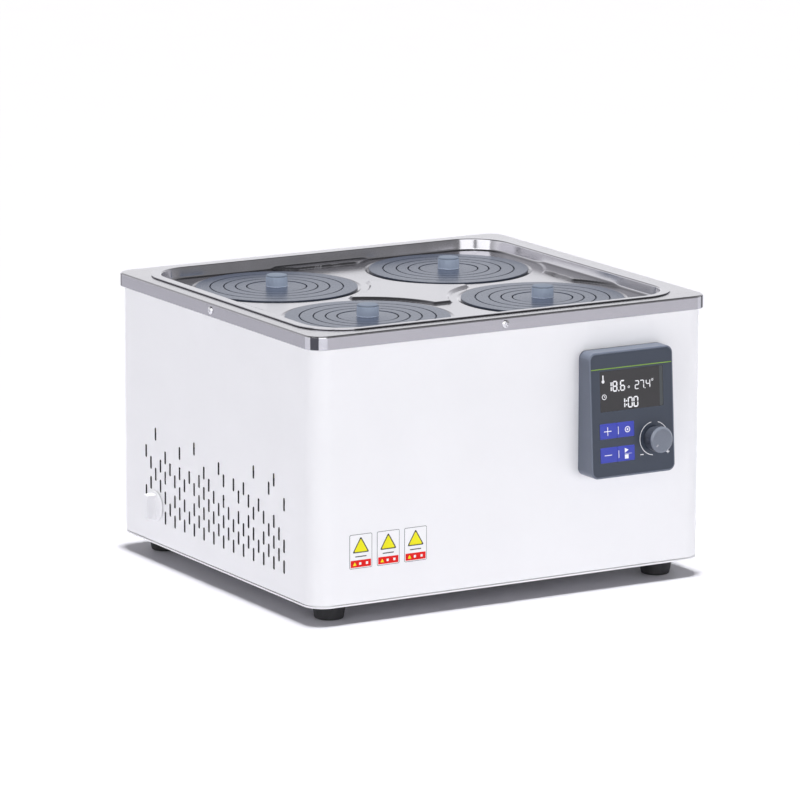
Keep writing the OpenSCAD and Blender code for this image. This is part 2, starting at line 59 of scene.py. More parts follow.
def span(node):
    """A CAD node's lowest and highest corners, in millimetres about the rim's middle."""
    low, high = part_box(node)
    return (low - RIM) / MM, (high - RIM) / MM


def middle(node):
    low, high = span(node)
    return (low + high) / 2


def size(node):
    low, high = span(node)
    return high - low


FRAME_LOW, FRAME_HIGH = span("top_frame")
FRAME_W, FRAME_D = size("top_frame").xy
CASE_LOW, CASE_HIGH = span("casing")
COVER_W, COVER_D = size("cover_plate").xy
COVER_TOP = span("cover_plate")[1].z
LID_TOP = span("ring_1_1")[1].z
LID_X = abs(middle("ring_1_1").x)
LID_Y = abs(middle("ring_1_1").y)
LID_R = size("ring_1_1").x / 2
# Signs of x and y of the four lids, and of the four corners anticlockwise
PLACES = {1: (-1, 1), 2: (1, 1), 3: (-1, -1), 4: (1, -1)}
QUARTERS = ((1, 1), (-1, 1), (-1, -1), (1, -1))


# -------- camera
AZIMUTH = -30.42
ELEVATION = 11.745
ROLL = 0.13
DISTANCE = 4.690
LOOK_AT = RIM + Vector((0.0618, 0.1190, 0.104))
LENS = 255.76


def direction(azimuth, elevation):
    """The way out from the bath, in degrees round from its front and up from level."""
    a = math.radians(azimuth)
    e = math.radians(elevation)
    return Vector((math.sin(a) * math.cos(e), -math.cos(a) * math.cos(e), math.sin(e)))


def add_camera():
    data = bpy.data.cameras.new("camera")
    data.lens = LENS
    data.sensor_width = 36
    data.clip_end = 100
    camera = bpy.data.objects.new("camera", data)
    bpy.context.scene.collection.objects.link(camera)
    back = direction(AZIMUTH, ELEVATION)
    roll = Matrix.Rotation(math.radians(ROLL), 3, "Z")
    turn = back.to_track_quat("Z", "Y").to_matrix() @ roll
    camera.matrix_world = Matrix.Translation(LOOK_AT + back * DISTANCE) @ turn.to_4x4()
    bpy.context.scene.camera = camera


add_camera()


# -------- material nodes
def around(colour, vary):
    """A colour a little darker and a little lighter."""
    return (tuple(c * (1 - vary) for c in colour), tuple(min(1, c * (1 + vary)) for c in colour))


class Finish:
    """The nodes of one material while they are wired up."""

    def __init__(self, tree):
        self.nodes = tree.nodes
        self.links = tree.links
        self.shader = tree.nodes["Principled BSDF"]

    def noise(self, scale, detail=3.0, rough=0.55):
        """Noise from 0 to 1; scale is in waves per metre, as one number or one per axis."""
        coords = self.nodes.new("ShaderNodeTexCoord")
        mapping = self.nodes.new("ShaderNodeMapping")
        mapping.inputs["Scale"].default_value = scale if isinstance(scale, tuple) else (scale,) * 3
        self.links.new(coords.outputs["Object"], mapping.inputs["Vector"])
        texture = self.nodes.new("ShaderNodeTexNoise")
        texture.inputs["Scale"].default_value = 1.0
        texture.inputs["Detail"].default_value = detail
        texture.inputs["Roughness"].default_value = rough
        self.links.new(mapping.outputs["Vector"], texture.inputs["Vector"])
        return texture.outputs["Fac"]

    def spread(self, pattern, low, high, socket):
        """Runs a shader socket between two colours or two grey levels with the pattern."""
        ramp = self.nodes.new("ShaderNodeValToRGB")
        for stop, place, level in zip(ramp.color_ramp.elements, (0.3, 0.7), (low, high)):
            stop.position = place
            stop.color = (*level, 1) if isinstance(level, tuple) else (level, level, level, 1)
        self.links.new(pattern, ramp.inputs["Fac"])
        self.links.new(ramp.outputs["Color"], self.shader.inputs[socket])

    def colour(self, pattern, colour, vary):
        self.spread(pattern, *around(colour, vary), "Base Color")

    def gloss(self, pattern, rough, vary):
        self.spread(pattern, max(0.02, rough - vary), rough + vary, "Roughness")

    def bump(self, height, distance):
        node = self.nodes.new("ShaderNodeBump")
        node.inputs["Distance"].default_value = distance
        self.links.new(height, node.inputs["Height"])
        self.links.new(node.outputs["Normal"], self.shader.inputs["Normal"])


def moulded(colour, rough, grain, depth, vary=0.03, gloss_vary=0.05, specular=0.5):
    """Paint, plastic or rubber: slow drifts of shade, and grain of a depth in micrometres."""
    def build(finish):
        finish.colour(finish.noise(18), colour, vary)
        fine = finish.noise(grain)
        finish.gloss(fine, rough, gloss_vary)
        finish.shader.inputs["Specular IOR Level"].default_value = specular
        finish.bump(fine, depth / 1000000)
    return build


def printed(colour, rough=0.4, grain=3000, **more):
    """Ink or label film, with hardly any grain."""
    return moulded(colour, rough, grain, 3, **more)


def metal(colour, rough, vary, gloss_vary, marks, dents, depth):
    """Metal; marks and dents are the settings of the noises for its shade and its bumps."""
    def build(finish):
        pattern = finish.noise(*marks)
        finish.colour(pattern, colour, vary)
        finish.gloss(pattern, rough, gloss_vary)
        finish.shader.inputs["Metallic"].default_value = 1.0
        finish.bump(finish.noise(*dents), depth)
    return build


def brushed(colour, rough, along="x"):
    """Brushed or rolled metal: long fine lines along one axis."""
    lines = (tuple(3.0 if axis == along else 1800.0 for axis in "xyz"), 2)
    return metal(colour, rough, 0.05, 0.05, lines, lines, 0.0000005)


def polished(colour, rough):
    """Polished metal: soft cloudy marks and a faint haze."""
    return metal(colour, rough, 0.03, 0.02, (60,), (25,), 0.00002)


def woven(colour):
    """Mineral wool: tangled, matt and deeply grained."""
    def build(finish):
        tangle = finish.noise((420.0, 420.0, 1500.0), detail=6, rough=0.7)
        finish.colour(tangle, colour, 0.25)
        finish.shader.inputs["Roughness"].default_value = 0.95
        finish.bump(tangle, 0.0008)
    return build


def board(colour):
    """A circuit board: lacquer over a fine grid of tracks."""
    def build(finish):
        coords = finish.nodes.new("ShaderNodeTexCoord")
        tracks = finish.nodes.new("ShaderNodeTexBrick")
        tracks.inputs["Scale"].default_value = 160
        tracks.inputs["Mortar Size"].default_value = 0.06
        dark, light = around(colour, 0.2)
        tracks.inputs["Color1"].default_value = (*dark, 1)
        tracks.inputs["Color2"].default_value = (*light, 1)
        tracks.inputs["Mortar"].default_value = (*around(colour, 0.6)[1], 1)
        finish.links.new(coords.outputs["Object"], tracks.inputs["Vector"])
        finish.links.new(tracks.outputs["Color"], finish.shader.inputs["Base Color"])
        finish.spread(finish.noise(300), 0.25, 0.4, "Roughness")
        finish.bump(tracks.outputs["Fac"], 0.00005)
    return build


# The finish of each material slot of the record, and of single faces and printed marks
FINISHES = {
    "painted_steel": moulded((0.86, 0.86, 0.875), 0.42, 900, 12, vary=0.01),
    # painted shade: the casing's inner face and the vents' cut edges are dark to stand in for the
    # shade inside it
    "inner_painted_shade": moulded((0.10, 0.10, 0.105), 0.7, 700, 20, vary=0.05),
    "vent_edge_painted_shade": moulded((0.012, 0.012, 0.013), 0.8, 700, 20, vary=0.05),
    "panel_paint": moulded((0.80, 0.80, 0.815), 0.5, 900, 12, vary=0.015),
    "stainless": brushed((0.50, 0.492, 0.52), 0.22),
    # painted shade and painted reflection on the frame's skirt: darker copies of the stainless for
    # its front and sides, and a painted dark band and a painted highlight for its corners
    "stainless_front_painted_shade": brushed((0.455, 0.448, 0.470), 0.22),
    "stainless_side_painted_shade": brushed((0.370, 0.366, 0.392), 0.22, along="y"),
    "corner_painted_shade": brushed((0.07, 0.07, 0.08), 0.2),
    "corner_painted_highlight": brushed((0.56, 0.56, 0.59), 0.2),
    "polished_stainless": polished((0.43, 0.424, 0.458), 0.16),
    # painted light: the cover's wall, a lighter copy of the stainless of its floor, which is the
    # same sheet
    "pan_wall_painted_light": polished((0.50, 0.494, 0.525), 0.15),
    "tank_stainless": brushed((0.60, 0.60, 0.61), 0.2, along="z"),
    "screw_steel": polished((0.70, 0.70, 0.72), 0.12),
    "insulation": woven((0.72, 0.66, 0.48)),
    "heater_steel": polished((0.33, 0.31, 0.29), 0.3),
    "brass": polished((0.72, 0.52, 0.22), 0.25),
    "rubber": moulded((0.018, 0.018, 0.02), 0.62, 1200, 40),
    "ring_plastic": moulded((0.050, 0.061, 0.092), 0.3, 2200, 6, specular=0.38),
    # painted light and painted shade: the knob's side is a lighter copy and its top a darker copy
    # of one plastic
    "knob_plastic": moulded((0.50, 0.58, 0.72), 0.45, 2200, 6, specular=0.3),
    "knob_top_painted_shade": moulded((0.125, 0.15, 0.195), 0.5, 2200, 6, specular=0.3),
    "white_plastic": moulded((0.85, 0.85, 0.87), 0.35, 1800, 6, vary=0.01),
    "silicone": moulded((0.75, 0.74, 0.70), 0.5, 700, 20),
    "housing_plastic": moulded((0.122, 0.141, 0.186), 0.36, 2400, 12),
    "fascia_film": moulded((0.038, 0.048, 0.070), 0.36, 3000, 4),
    "display_glass": moulded((0.027, 0.026, 0.027), 0.16, 500, 1, gloss_vary=0.03),
    "display_edge": moulded((0.052, 0.060, 0.063), 0.2, 500, 1),
    "key_blue": moulded((0.040, 0.056, 0.40), 0.4, 2400, 6),
    "dial_grey": moulded((0.158, 0.176, 0.215), 0.3, 2400, 8),
    "dial_grip": moulded((0.050, 0.057, 0.075), 0.4, 2400, 8),
    "circuit_board": board((0.03, 0.16, 0.07)),
    "black_plastic": moulded((0.02, 0.02, 0.022), 0.42, 1600, 10),
    "rocker_red": moulded((0.50, 0.03, 0.02), 0.3, 1600, 6),
    "motor_steel": brushed((0.45, 0.45, 0.46), 0.35, along="z"),
    "plate_steel": brushed((0.52, 0.53, 0.55), 0.4),
    "white_ink": printed((0.86, 0.86, 0.88), 0.45),
    "grey_ink": printed((0.38, 0.38, 0.40), 0.45),
    "green_ink": printed((0.22, 0.42, 0.03)),
    "yellow_ink": printed((0.86, 0.80, 0.02), specular=0.15),
    "red_ink": printed((0.74, 0.012, 0.010), specular=0.15),
    # painted shade: the black strip that stands in for the shade in the gap under the cover's
    # flange
    "flange_gap_shade": moulded((0.008, 0.008, 0.009), 0.8, 900, 20),
    "label_edge": printed((0.12, 0.12, 0.13), 0.45),
    "label_film": printed((0.88, 0.88, 0.89), 0.3, grain=2500, vary=0.01),
    "studio_floor": moulded((0.553, 0.548, 0.585), 0.6, 300, 20, vary=0.004),
}
made_materials = {}


def finish_material(name):
    if name not in made_materials:
        material = bpy.data.materials.new(name)
        material.use_nodes = True
        FINISHES[name](Finish(material.node_tree))
        made_materials[name] = material
    return made_materials[name]


# -------- outlines
def softened(corners, radius, steps=4):
    """A closed outline of (a, b) points with each corner rounded off."""
    corners = [Vector(corner) for corner in corners]
    outline = []
    for index, corner in enumerate(corners):
        arms = []
        for neighbour in (corners[index - 1], corners[(index + 1) % len(corners)]):
            arm = neighbour - corner
            arms.append(corner + arm.normalized() * min(radius, arm.length * 0.48))
        for step in range(steps + 1):
            t = step / steps
            outline.append(arms[0].lerp(corner, t).lerp(corner.lerp(arms[1], t), t))
    return outline


def rounded_rect(width, depth, radius, steps=10):
    """Points anticlockwise round a rectangle with rounded corners, about its middle."""
    outline = []
    for quarter, (sx, sy) in enumerate(QUARTERS):
        for step in range(steps + 1):
            angle = math.pi / 2 * (quarter + step / steps)
            outline.append(Vector((sx * (width / 2 - radius) + radius * math.cos(angle),
                                   sy * (depth / 2 - radius) + radius * math.sin(angle))))
    return outline


def rectangle(x0, z0, x1, z1, radius=0.0, steps=4):
    if radius:
        return [Vector(((x0 + x1) / 2, (z0 + z1) / 2)) + p
                for p in rounded_rect(x1 - x0, z1 - z0, radius, steps)]
    return [Vector((x0, z0)), Vector((x1, z0)), Vector((x1, z1)), Vector((x0, z1))]


def circle(radius, steps=48, start=0.0, turn=360.0, centre=(0, 0)):
    count = steps if turn == 360.0 else steps + 1
    angles = [math.radians(start + turn * step / steps) for step in range(count)]
    return [Vector((centre[0] + radius * math.cos(a), centre[1] + radius * math.sin(a)))
            for a in angles]


def quarter_round(radius, steps):
    """Steps along a rounded edge, as (distance still to go out, distance already down)."""
    angles = [math.pi / 2 * step / steps for step in range(steps + 1)]
    return [(radius * (1 - math.sin(a)), radius * (1 - math.cos(a))) for a in angles]


def ring_of(width, depth, radius, z, steps=10):
    """A level loop of a rounded rectangle at height z."""
    return [Vector((p.x, p.y, z)) for p in rounded_rect(width, depth, radius, steps)]


# -------- building pieces
def bevelled(thing, width, angle):
    """Softens the edges that turn by more than the angle, by a modifier."""
    edge = thing.modifiers.new("edge", "BEVEL")
    edge.width = width * MM
    edge.segments = 2
    edge.limit_method = "ANGLE"
    edge.angle_limit = math.radians(angle)


class Shape:
    """Collects parts of one mesh, in millimetres about the rim's middle."""

    def __init__(self):
        self.points = []
        self.faces = []
        self.finish_of_face = []

    def add(self, points, faces, finish=0):
        start = len(self.points)
        self.points += points
        self.faces += [tuple(start + index for index in face) for face in faces]
        self.finish_of_face += [finish] * len(faces)

    def loft(self, loops, finish=0, closed=False):
        """Skins loops of equally many points, with end caps or joined back to the first."""
        count = len(loops[0])
        faces = []
        pairs = len(loops) if closed else len(loops) - 1
        for row in range(pairs):
            here = row * count
            there = (row + 1) % len(loops) * count
            for i in range(count):
                j = (i + 1) % count
                faces.append((here + i, here + j, there + j, there + i))
        if not closed:
            faces.append(tuple(reversed(range(count))))
            last = (len(loops) - 1) * count
            faces.append(tuple(last + i for i in range(count)))
        self.add([Vector(p) for loop in loops for p in loop], faces, finish)

    def lathe(self, profile, place, steps, lobes=None):
        """Turns a closed (radius, height) profile; place(x, y, z) puts each point."""
        loops = []
        for step in range(steps):
            angle = math.tau * step / steps
            loop = []
            for index, (radius, height) in enumerate(profile):
                swell = lobes(index, angle) if lobes else 1
                loop.append(place(radius * swell * math.cos(angle),
                                  radius * swell * math.sin(angle), height))
            loops.append(loop)
        self.loft(loops, closed=True)

    def slab(self, outline, low, high, place, finish=0, edge=0.0):
        """A flat plate of any outline from low to high, its top edge softened by edge."""
        loops = [[place(p.x, p.y, z) for p in outline] for z in (low, high - edge)]
        if edge:
            centre = sum(outline, Vector((0, 0))) / len(outline)
            inner = [p + (centre - p).normalized() * edge for p in outline]
            loops.append([place(p.x, p.y, high) for p in inner])
        self.loft(loops, finish)

    def piece(self, name, finishes, body, stands_for=(), sharp=40.0, even_shading=True,
              bevel=0.0):
        """Makes the object, gives it its finishes and puts it on its body."""
        mesh = bpy.data.meshes.new(name)
        mesh.from_pydata([RIM + p * MM for p in self.points], [], self.faces)
        for finish in finishes:
            mesh.materials.append(finish_material(finish))
        mesh.polygons.foreach_set("material_index", self.finish_of_face)
        tidy = bmesh.new()
        tidy.from_mesh(mesh)
        bmesh.ops.remove_doubles(tidy, verts=tidy.verts, dist=0.000002)
        bmesh.ops.recalc_face_normals(tidy, faces=tidy.faces)
        tidy.to_mesh(mesh)
        tidy.free()
        mesh.shade_smooth()
        mesh.set_sharp_from_angle(angle=math.radians(sharp))
        thing = bpy.data.objects.new(name, mesh)
        bpy.context.scene.collection.objects.link(thing)
        if bevel:
            bevelled(thing, bevel, 60)
        if even_shading:
            thing.modifiers.new("shading", "WEIGHTED_NORMAL").keep_sharp = True
        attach(thing, body)
        if stands_for:
            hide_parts(*stands_for)
        return thing


def pierced_plate(shape, outline, windows, outer, inner, finishes=(0, 0, 0), open_ends=False):
    """A flat plate with windows right through it; outer and inner place its two faces.

    Its finishes are the outer face's, the inner face's and the cut edges'. With open_ends
    its first and last upright edges are left for neighbours to join.
    """
    build = bmesh.new()
    edges = []
    for loop in [outline] + windows:
        verts = [build.verts.new((p.x, p.y, 0)) for p in loop]
        edges += [build.edges.new((verts[i - 1], verts[i])) for i in range(len(verts))]
    ends = {round(p.x, 6) for p in outline} if open_ends else set()
    bmesh.ops.triangle_fill(build, edges=edges, use_beauty=True, use_dissolve=False)
    build.verts.index_update()
    flat = [(v.co.x, v.co.y) for v in build.verts]
    count = len(flat)
    front = [tuple(v.index for v in face.verts) for face in build.faces]
    back = [tuple(count + i for i in reversed(face)) for face in front]
    sides = []
    for edge in build.edges:
        a, b = edge.verts
        at_end = a.co.x == b.co.x and round(a.co.x, 6) in ends
        if edge.is_boundary and not at_end:
            sides.append((a.index, b.index, count + b.index, count + a.index))
    build.free()
    start = len(shape.points)
    shape.add([place(x, z) for place in (outer, inner) for x, z in flat], front, finishes[0])
    for faces, finish in ((sides, finishes[2]), (back, finishes[1])):
        shape.faces += [tuple(start + i for i in face) for face in faces]
        shape.finish_of_face += [finish] * len(faces)


def upright(x, y):
    """Places lathe and slab points on a vertical axis through (x, y)."""
    return lambda a, b, z: Vector((x + a, y + b, z))


# -------- top frame
# The skirt's finishes round a corner, as (degrees turned from the left or right side, index).
# Its sides and front carry painted shade, darker than the top, and its corners a painted
# reflection of the room: a painted dark band between painted highlights on the corners on
# one diagonal (1), and a wide painted dark band beside one painted highlight on the other (-1)
SKIRT_FINISHES = ("stainless", "stainless_side_painted_shade", "corner_painted_shade", "corner_painted_highlight",
                  "stainless_front_painted_shade")
PAINTED_CORNER_BANDS = {1: ((8, 1), (30, 3), (58, 2), (82, 3), (91, 4)),
                -1: ((6, 1), (64, 2), (80, 3), (91, 4))}


def top_frame():
    """The folded frame: a flat top with a rounded edge and a skirt, with painted shade and painted
    reflections on the skirt.
    """
    tank = size("tank")
    opening = (tank.x - 16, tank.y - 16, 33)
    top = FRAME_HIGH.z
    sheet = 1.0
    edge = 1.6
    corner = 14
    steps = 16

    def skirt(inset, z):
        return ring_of(FRAME_W - 2 * inset, FRAME_D - 2 * inset, corner - inset, z, steps)

    loops = [ring_of(*opening, top - sheet, steps), ring_of(*opening, top, steps)]
    loops += [skirt(inset, top - drop) for inset, drop in quarter_round(edge, 5)]
    loops += [skirt(0, FRAME_LOW.z + 0.4), skirt(0.4, FRAME_LOW.z), skirt(sheet, FRAME_LOW.z),
              skirt(sheet, top - sheet)]
    shape = Shape()
    shape.loft(loops, closed=True)
    thing = shape.piece("steel_frame", SKIRT_FINISHES, "case", ["top_frame"])
    # skirt faces take painted shade by the way they face, and painted reflection bands round the
    # corners
    for face in thing.data.polygons:
        turned = math.degrees(math.atan2(abs(face.normal.y), abs(face.normal.x)))
        diagonal = 1 if face.normal.x * face.normal.y > 0 else -1
        if abs(face.normal.z) < 0.5:
            face.material_index = next(finish for limit, finish in PAINTED_CORNER_BANDS[diagonal]
                                       if turned < limit)


def frame_screws():
    """Domed screws with a cross recess: one on each side of the skirt."""
    head_r = 3.2
    aside = -9
    dome = [(0, 0.5), (1.1, 0.55), (1.4, 1.5), (2.1, 1.4), (2.8, 1.0), (head_r, 0.45),
            (head_r, 0.0), (0, 0.0)]
    height = middle("frame_screws").z

    def cross(index, angle):
        return 1 + 0.3 * math.cos(4 * angle) if index in (1, 2) else 1

    shape = Shape()
    for axis, side in ((0, -1), (0, 1), (1, -1), (1, 1)):
        reach = (FRAME_W if axis == 0 else FRAME_D) / 2

        def place(a, b, out, axis=axis, side=side, reach=reach):
            across = side * (reach - 0.02 + out)
            if axis == 0:
                return Vector((across, a, height + b))
            return Vector((aside + a, across, height + b))

        shape.lathe(dome, place, 32, lobes=cross)
    shape.piece("frame_screw_heads", ["screw_steel"], "case", ["frame_screws"])


# -------- casing
# SLOT holds a vent's width and height; SEAM is the gap above the base pan
CASE_R = 16.7
CASE_SHEET = 1.0
SEAM = 0.45
SLOT = (2.5, 10.5)
SLOT_PITCH = (8.1, 16.45)
SLOT_LOW = 39.0
# The rows cut in each column of vents, one digit a row, from the back to the front; every
# second column stands half a pitch higher
SLOT_ROWS = ("31 21 42 21 3210 20 210 3210 210 20 4210 210 3210 210 210 310 3210 10 310 210 310 "
             "210 4210 20 210 310 4210 10 310").split()


def vent_windows():
    """Slot outlines on a side wall, as (y, z) loops."""
    windows = []
    last = len(SLOT_ROWS) - 1
    for column, rows in enumerate(SLOT_ROWS):
        y = (last / 2 - column) * SLOT_PITCH[0]
        for row in rows:
            z = SLOT_LOW + (int(row) + (column % 2) / 2) * SLOT_PITCH[1]
            slot = rounded_rect(*SLOT, SLOT[0] / 2 - 0.01, 4)
            windows.append([Vector((y, z)) + p for p in slot])
    return windows


def casing_shell():
    """The folded and painted casing: four walls and four round corners of one sheet, with painted
    shade on its inner face and the vents' cut edges.
    """
    half_w, half_d = size("casing").xy / 2
    low = CASE_LOW.z + SEAM
    high = CASE_HIGH.z
    stem = middle("drain_knob")
    panel_low, panel_high = span("rear_panel")
    margin = 10
    panel_window = rectangle(panel_low.x + margin, panel_low.z + margin,
                             panel_high.x - margin, panel_high.z - margin)
    walls = (
        (half_d - CASE_R, vent_windows() + [circle(5, 24, centre=(stem.y, stem.z))],
         lambda u, z, deep: Vector((-half_w + deep, u, z))),
        (half_d - CASE_R, vent_windows(), lambda u, z, deep: Vector((half_w - deep, u, z))),
        (half_w - CASE_R, [], lambda u, z, deep: Vector((u, -half_d + deep, z))),
        (half_w - CASE_R, [panel_window], lambda u, z, deep: Vector((u, half_d - deep, z))))
    shape = Shape()
    # the inner faces and the vents' cut edges carry painted shade
    for reach, windows, place in walls:
        pierced_plate(shape, rectangle(-reach, low, reach, high), windows,
                      lambda u, z: place(u, z, 0), lambda u, z: place(u, z, CASE_SHEET),
                      (0, 1, 2), open_ends=True)
    steps = 14
    for quarter, (sx, sy) in enumerate(QUARTERS):
        centre = (sx * (half_w - CASE_R), sy * (half_d - CASE_R))
        skins = []
        for radius, z in ((CASE_R, low), (CASE_R, high), (CASE_R - CASE_SHEET, high),
                          (CASE_R - CASE_SHEET, low)):
            arc = circle(radius, steps, 90 * quarter, 90, centre)
            skins.append([Vector((p.x, p.y, z)) for p in arc])
        count = steps + 1
        faces = [(i, i + 1, count + i + 1, count + i) for i in range(steps)]
        # each corner's inner skin carries the inner face's painted shade
        for side, finish in enumerate((0, 0, 1, 0)):
            shape.add(skins[side] + skins[(side + 1) % 4], faces, finish)
    shape.piece("casing_shell", ["painted_steel", "inner_painted_shade", "vent_edge_painted_shade"], "case",
                ["casing"], sharp=50, bevel=0.22)


# -------- drop-in cover
SEAT_Z = LID_TOP - 1.7
HOLE_R = LID_R - 4
COVER_SHEET = 0.55
# Heights of the land round the holes and of the plateaus on it; where they start, measured
# from the nearest lid's middle (DIAMOND and STRIP) or from the cover's middle lines
LAND_H = 0.8
PLATEAU_H = 1.8
LAND_GAP = 66.0
DIAMOND_GAP = 73.5
DIAMOND_HALF = 55.0
STRIP_GAP = 77.0
STRIP_X = 138.5
STRIP_Y = 130.5
LAND_RUN = 2.6
SLOPE_RUN = 2.8
# Half width, half depth and corner radius of the floor's edge, and the rays to each part of it
FLOOR_OUTLINE = (157.2, 142.4, 31)
COVER_STEPS = {"side": 30, "corner": 16, "back": 30}
FLANGE_R = 38
# Where rays end on the two middle lines, as (place, steps up to it): close together where
# a pressed slope crosses the line, so that the slope keeps its shape
SPINE_STRETCHES = ((135.5, 3), (127, 14), (57, 13), (50, 10), (0, 16))
AISLE_STRETCHES = ((50, 16), (57, 10), (135, 14), (143.5, 14), (157.2, 5))


def ease(value):
    """0 below 0, 1 above 1, and a smooth rise between."""
    value = min(1, max(0, value))
    return value * value * (3 - 2 * value)


def pressed_height(x, y):
    """Height of the pressed floor in the quarter where x and y are positive."""
    def past(value, start):
        return ease((value - start) / SLOPE_RUN)

    gap = math.hypot(x - LID_X, y - LID_Y)
    land = LAND_H * ease((gap - LAND_GAP) / LAND_RUN)
    diamond = past(gap, DIAMOND_GAP) * past(-x, -DIAMOND_HALF) * past(-y, -DIAMOND_HALF)
    beside = past(gap, STRIP_GAP) * past(x, STRIP_X) if y < LID_Y else 0
    behind = past(gap, STRIP_GAP) * past(y, STRIP_Y) if x < LID_X else 0
    lip = 1.0 - math.sqrt(max(0, 1 - (1 - min(1, gap - HOLE_R)) ** 2))
    return SEAT_Z - lip + land + PLATEAU_H * max(diamond, beside, behind)


def pressed_normal(x, y):
    """The pressed floor's upward normal at any place on the cover."""
    step = 0.05
    ax = abs(x)
    ay = abs(y)
    slope_x = (pressed_height(ax + step, ay) - pressed_height(abs(ax - step), ay)) / (2 * step)
    slope_y = (pressed_height(ax, ay + step) - pressed_height(ax, abs(ay - step))) / (2 * step)
    return Vector((-slope_x * math.copysign(1, x), -slope_y * math.copysign(1, y), 1)).normalized()


def edge_point(half_w, half_d, radius, side, t):
    """A point on the quarter outline: along the side, round the corner, along the back."""
    if side == "side":
        return Vector((half_w, t * (half_d - radius)))
    if side == "corner":
        angle = math.pi / 2 * t
        return Vector((half_w - radius + radius * math.cos(angle),
                       half_d - radius + radius * math.sin(angle)))
    return Vector(((1 - t) * (half_w - radius), half_d))


def cover_wall_loops():
    """Outlines that carry the wall up from the floor and out to the flange's edge."""
    floor_w, floor_d, floor_r = FLOOR_OUTLINE
    wall_out = 2.6
    foot_r = 1.6
    lip_r = 1.1
    low = SEAT_Z + LAND_H
    high = COVER_TOP
    loops = [(foot_r - to_go, low + up) for to_go, up in quarter_round(foot_r, 5)[1:]]
    for share in (0.05, 0.5, 0.95, 1):
        loops.append((foot_r + (wall_out - foot_r) * share,
                      low + foot_r + (high - lip_r - low - foot_r) * share))
    loops += [(wall_out + out, high - to_go) for to_go, out in quarter_round(lip_r, 5)[1:]]
    loops.append((wall_out + lip_r + 0.15, high))
    outlines = [(floor_w + out, floor_d + out, floor_r + out, z) for out, z in loops]
    for inset, drop in ((0.3, 0), (0.12, 0), (0, 0.12)):
        outlines.append((COVER_W / 2 - inset, COVER_D / 2 - inset, FLANGE_R - inset, high - drop))
    return outlines


def graded(start, stretches):
    """Values from start on, evenly spaced within each stretch."""
    values = []
    for end, steps in stretches:
        values += [start + (end - start) * (step + 1) / steps for step in range(steps)]
        start = end
    return values


def quarter_rays():
    """Rays out of the lid's middle, each ending on the pan's edge or on a middle line."""
    floor_d = FLOOR_OUTLINE[1]
    rays = []
    for side in ("side", "corner", "back"):
        for step in range(COVER_STEPS[side]):
            t = step / COVER_STEPS[side]
            rays.append((side, t, edge_point(*FLOOR_OUTLINE, side, t)))
    rays.append(("back", 1.0, Vector((0, floor_d))))
    rays += [(None, 0, Vector((0, y))) for y in graded(floor_d, SPINE_STRETCHES)]
    rays += [(None, 0, Vector((x, 0))) for x in graded(0, AISLE_STRETCHES)]
    return rays


def cover_quarter():
    """Top faces of one quarter of the cover: points, faces and each face's finish."""
    centre = Vector((LID_X, LID_Y))
    # places along a ray over the hole's lip, the lid's seat and the slope up to the land
    near = [HOLE_R + step for step in (0, 0.15, 0.5, 1.0, 4.8, 5.4, 6.0, 6.6, 7.2)]
    outer_steps = 44
    fade_height = 5.0
    flange_loops = 5
    walls = cover_wall_loops()
    rays = quarter_rays()
    points = []
    rows = []
    for side, t, end in rays:
        row = []
        way = (end - centre).normalized()
        reach = (end - centre).length
        stations = near + [near[-1] + (reach - near[-1]) * step / outer_steps
                           for step in range(1, outer_steps + 1)]
        for distance in stations:
            spot = centre + way * distance
            row.append(len(points))
            points.append(Vector((spot.x, spot.y, pressed_height(max(0, spot.x), max(0, spot.y)))))
        if side:
            # the wall starts at the land's height plus any plateau there, which fades upward
            rise = points[row[-1]].z - (SEAT_Z + LAND_H)
            for half_w, half_d, radius, z in walls:
                spot = edge_point(half_w, half_d, radius, side, t)
                fade = max(0.0, 1 - (z - walls[0][3]) / fade_height)
                row.append(len(points))
                points.append(Vector((spot.x, spot.y, z + rise * fade)))
        rows.append(row)
    faces = []
    finishes = []
    floor_count = len(near) + outer_steps
    for this, following in zip(rows, rows[1:]):
        for i in range(min(len(this), len(following)) - 1):
            faces.append((this[i], this[i + 1], following[i + 1], following[i]))
            # wall faces take the lighter copy of the stainless: painted light
            on_wall = floor_count - 1 <= i < floor_count + len(walls) - flange_loops
            finishes.append(1 if on_wall else 0)
    return points, faces, finishes


def flange_gap_shade_ring(shape, finish):
    """A black strip between the cover's flange and the top frame, which stands in for the shade in
    the gap there: painted shade.
    """
    inset = 0.7
    width = 2
    low = FRAME_HIGH.z + 0.02
    high = COVER_TOP - COVER_SHEET - 0.02
    loops = []
    for inward, z in ((inset, low), (inset, high), (inset + width, high), (inset + width, low)):
        loops.append(ring_of(COVER_W - 2 * inward, COVER_D - 2 * inward, FLANGE_R - inward, z))
    shape.loft(loops, finish, closed=True)


def shade_pressing(mesh):
    """Gives the pressed floor its exact normals, which the mesh alone only comes near."""
    floor_w, floor_d, floor_r = FLOOR_OUTLINE
    normals = []
    for vertex in mesh.vertices:
        spot = (vertex.co - RIM) / MM
        normal = vertex.normal.copy()
        corner = Vector((max(0, abs(spot.x) - floor_w + floor_r),
                         max(0, abs(spot.y) - floor_d + floor_r)))
        on_floor = corner.length < floor_r - 0.5
        gap = math.hypot(abs(spot.x) - LID_X, abs(spot.y) - LID_Y)
        if on_floor and gap > HOLE_R + 0.6 and spot.z < SEAT_Z + LAND_H + PLATEAU_H + 0.1:
            exact = pressed_normal(spot.x, spot.y)
            normal = exact if normal.z > 0 else -exact
        normals.append(normal)
    mesh.normals_split_custom_set_from_vertices(normals)


